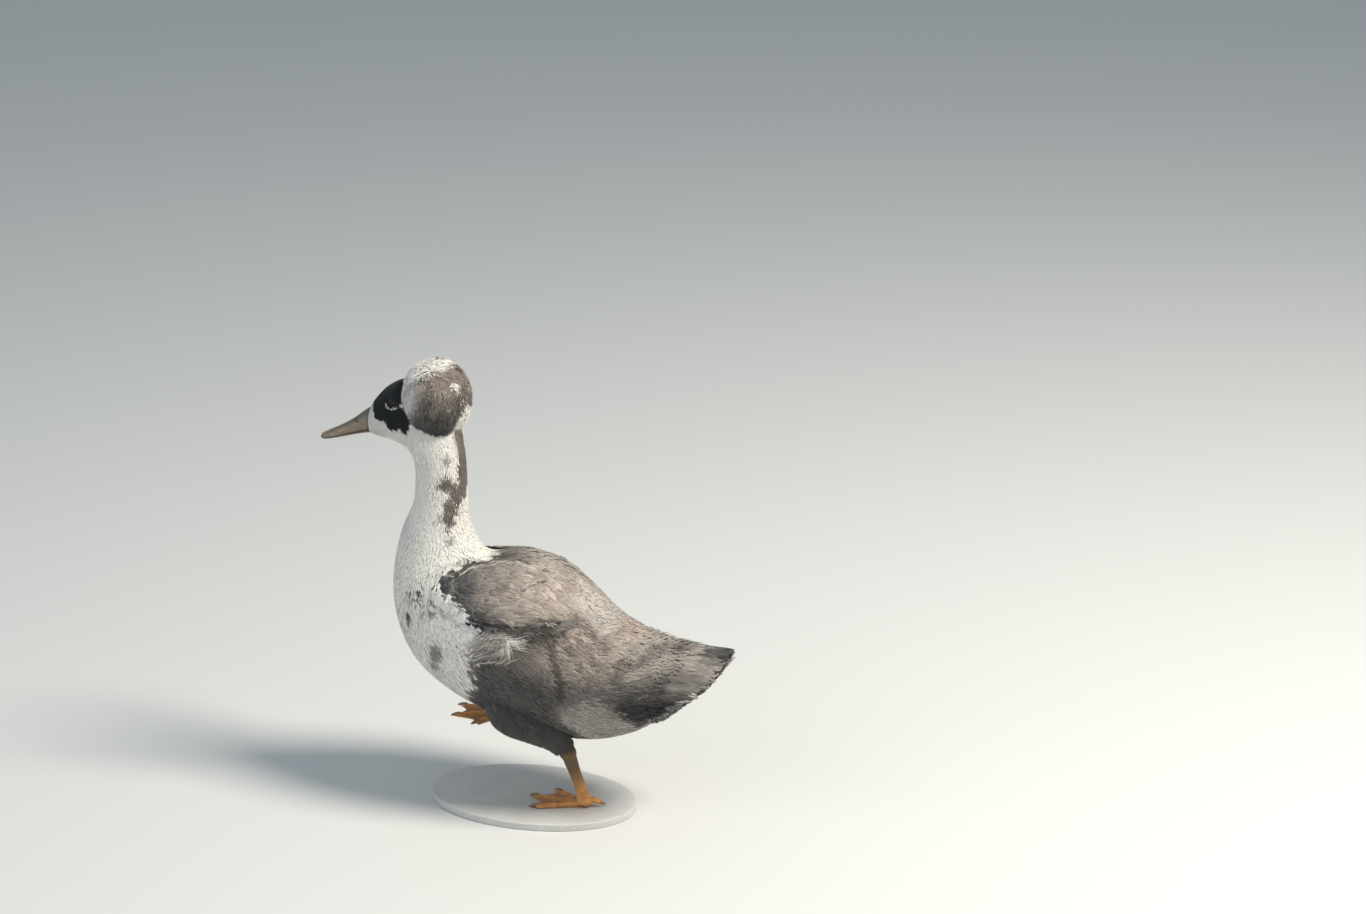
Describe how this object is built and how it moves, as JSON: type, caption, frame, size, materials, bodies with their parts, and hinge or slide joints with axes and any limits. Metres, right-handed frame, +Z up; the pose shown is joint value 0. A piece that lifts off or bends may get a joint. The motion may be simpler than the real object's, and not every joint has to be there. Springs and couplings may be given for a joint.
{
  "type": "crested duck model",
  "caption": "Life-size still model of a young grey and white duck with a ball crest, walking with one foot lifted, on an oval base.",
  "frame": {"origin": "on the floor, under the middle of the whole part's box", "axes": "+Z up; the bill points along -X and the tail along +X; the duck's left side is -Y and its right side +Y"},
  "size_m": [0.4604, 0.155, 0.4888],
  "materials": {
    "gray_brown_feather": "grey-brown feather coat, matt",
    "white_feather": "cream-white feather coat, matt",
    "crest_feather": "soft brown-grey crest feathers",
    "bill_horn": "brownish horn, satin",
    "leg_skin": "orange scaled skin, satin",
    "eye": "dark wet gloss",
    "base_paint": "matt pale grey paint on a wooden plate"
  },
  "bodies": {
    "root": {"torso": "gray_brown_feather", "neck": "white_feather", "head": "gray_brown_feather", "crest": "crest_feather", "bill_upper": "bill_horn", "bill_lower": "bill_horn", "eye_left": "eye", "eye_right": "eye", "wing_left": "gray_brown_feather", "wing_right": "gray_brown_feather", "tail": "gray_brown_feather", "thigh_left": "gray_brown_feather", "thigh_right": "gray_brown_feather", "shank_left": "leg_skin", "shank_right": "leg_skin", "foot_left": "leg_skin", "foot_right": "leg_skin", "stand_base": "base_paint"}
  },
  "joints": []
}
